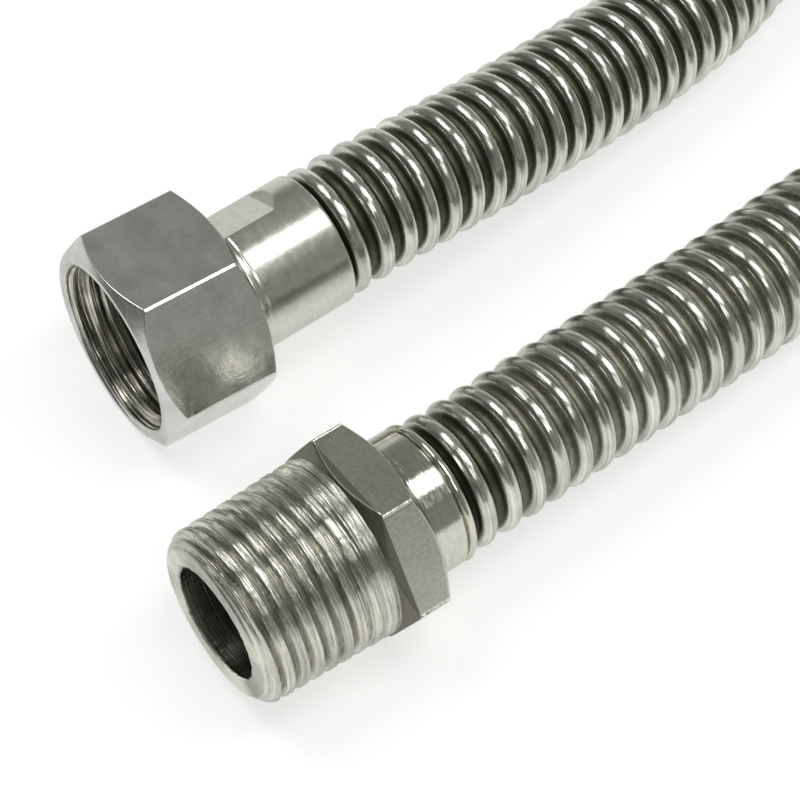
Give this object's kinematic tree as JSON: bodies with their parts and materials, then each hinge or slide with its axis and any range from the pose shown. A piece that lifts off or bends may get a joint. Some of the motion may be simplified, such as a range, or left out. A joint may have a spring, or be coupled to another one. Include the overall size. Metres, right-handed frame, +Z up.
{
  "type": "corrugated stainless steel hose",
  "caption": "Flexible annular corrugated metal water hose with a swivel hex nut on one end and a male taper-threaded hex fitting on the other, bent round in a loop.",
  "frame": {"origin": "centre of the bottom of the bounding box, on the table the hose lies on", "axes": "+X from the loop of the hose towards the open ends of the fittings, +Z up"},
  "size_m": [0.276, 0.1504, 0.024],
  "materials": {
    "hose_steel": "bright drawn stainless steel with polished crests",
    "sleeve_steel": "bright turned stainless steel",
    "nut_steel": "satin drawn hexagon bar, turned faces",
    "male_steel": "satin hexagon with bright turned thread and neck"
  },
  "bodies": {
    "hose": {"corrugated_hose": "hose_steel", "nut_sleeve": "sleeve_steel", "male_fitting": "male_steel"},
    "nut": {"swivel_nut": "nut_steel"}
  },
  "joints": [
    {"name": "nut_turn", "type": "hinge", "parent": "hose", "child": "nut", "pos_m": [0.123, -0.0213, 0.012], "axis": [0.9936, -0.1132, 0], "continuous": true}
  ]
}
